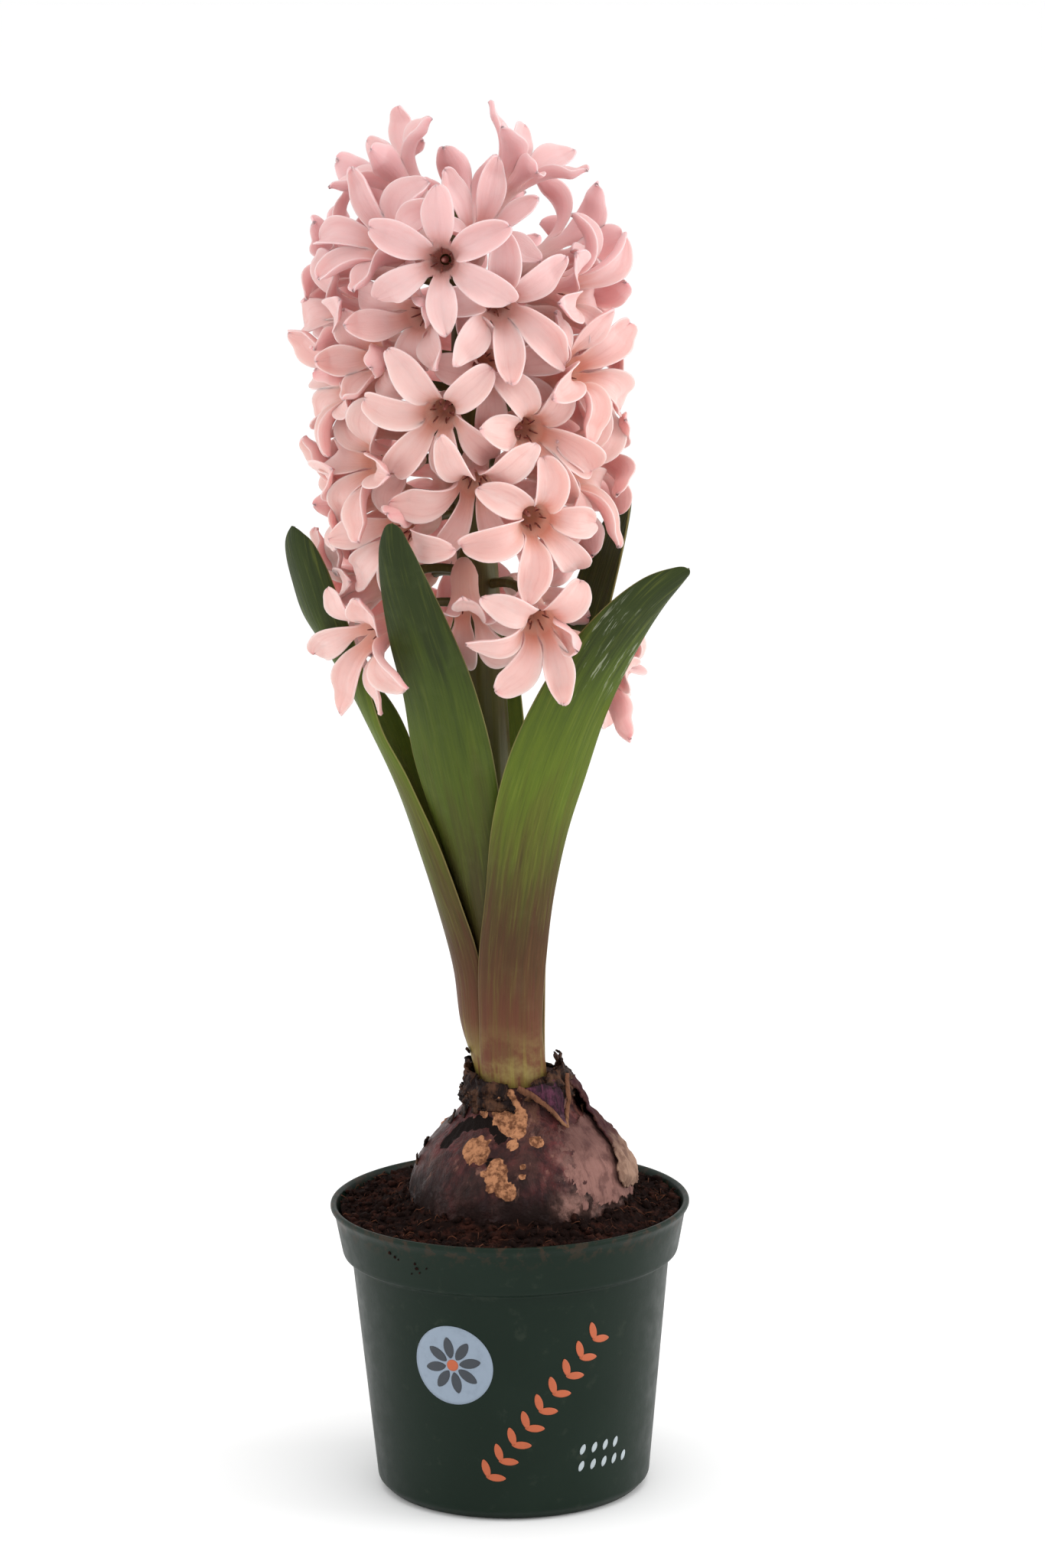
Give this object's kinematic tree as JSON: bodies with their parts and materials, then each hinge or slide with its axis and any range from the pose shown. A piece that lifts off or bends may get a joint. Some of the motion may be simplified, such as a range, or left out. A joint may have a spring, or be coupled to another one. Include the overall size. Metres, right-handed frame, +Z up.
{
  "type": "potted hyacinth",
  "caption": "Flowering hyacinth with pale pink florets on one stem and strap leaves, grown from a half-sunk bulb in a round tapered plastic pot.",
  "frame": {"origin": "middle of the pot's flat underside", "axes": "+Z up along the pot, -Y towards the front of the plant, +X to the right"},
  "size_m": [0.0987, 0.0916, 0.3464],
  "materials": {
    "pot": "satin",
    "soil": "matte",
    "bulb": "satin",
    "tunic": "matte",
    "leaf": "satin",
    "stem": "satin",
    "floret": "satin"
  },
  "bodies": {
    "root": {"pot": "pot", "soil": "soil", "bulb": "bulb", "tunic_right": "tunic", "neck_scale_right": "tunic", "neck_scale_left": "tunic", "leaf_front_right": "leaf", "leaf_front_left": "leaf", "leaf_left": "leaf", "leaf_right": "leaf", "leaf_back": "leaf", "flower_stem": "stem", "floret_01": "floret", "floret_02": "floret", "floret_03": "floret", "floret_04": "floret", "floret_05": "floret", "floret_06": "floret", "floret_07": "floret", "floret_08": "floret", "floret_09": "floret", "floret_10": "floret", "floret_11": "floret", "floret_12": "floret", "floret_13": "floret", "floret_14": "floret", "floret_15": "floret", "floret_16": "floret", "floret_17": "floret", "floret_18": "floret", "floret_19": "floret", "floret_20": "floret", "floret_21": "floret", "floret_22": "floret", "floret_23": "floret", "floret_24": "floret", "floret_25": "floret", "floret_26": "floret", "floret_27": "floret", "floret_28": "floret", "floret_29": "floret", "floret_30": "floret", "floret_31": "floret", "floret_32": "floret", "floret_33": "floret", "floret_34": "floret", "floret_35": "floret", "floret_36": "floret", "floret_37": "floret", "floret_38": "floret", "floret_39": "floret", "floret_40": "floret", "floret_41": "floret", "floret_42": "floret", "floret_43": "floret", "floret_44": "floret"}
  },
  "joints": []
}
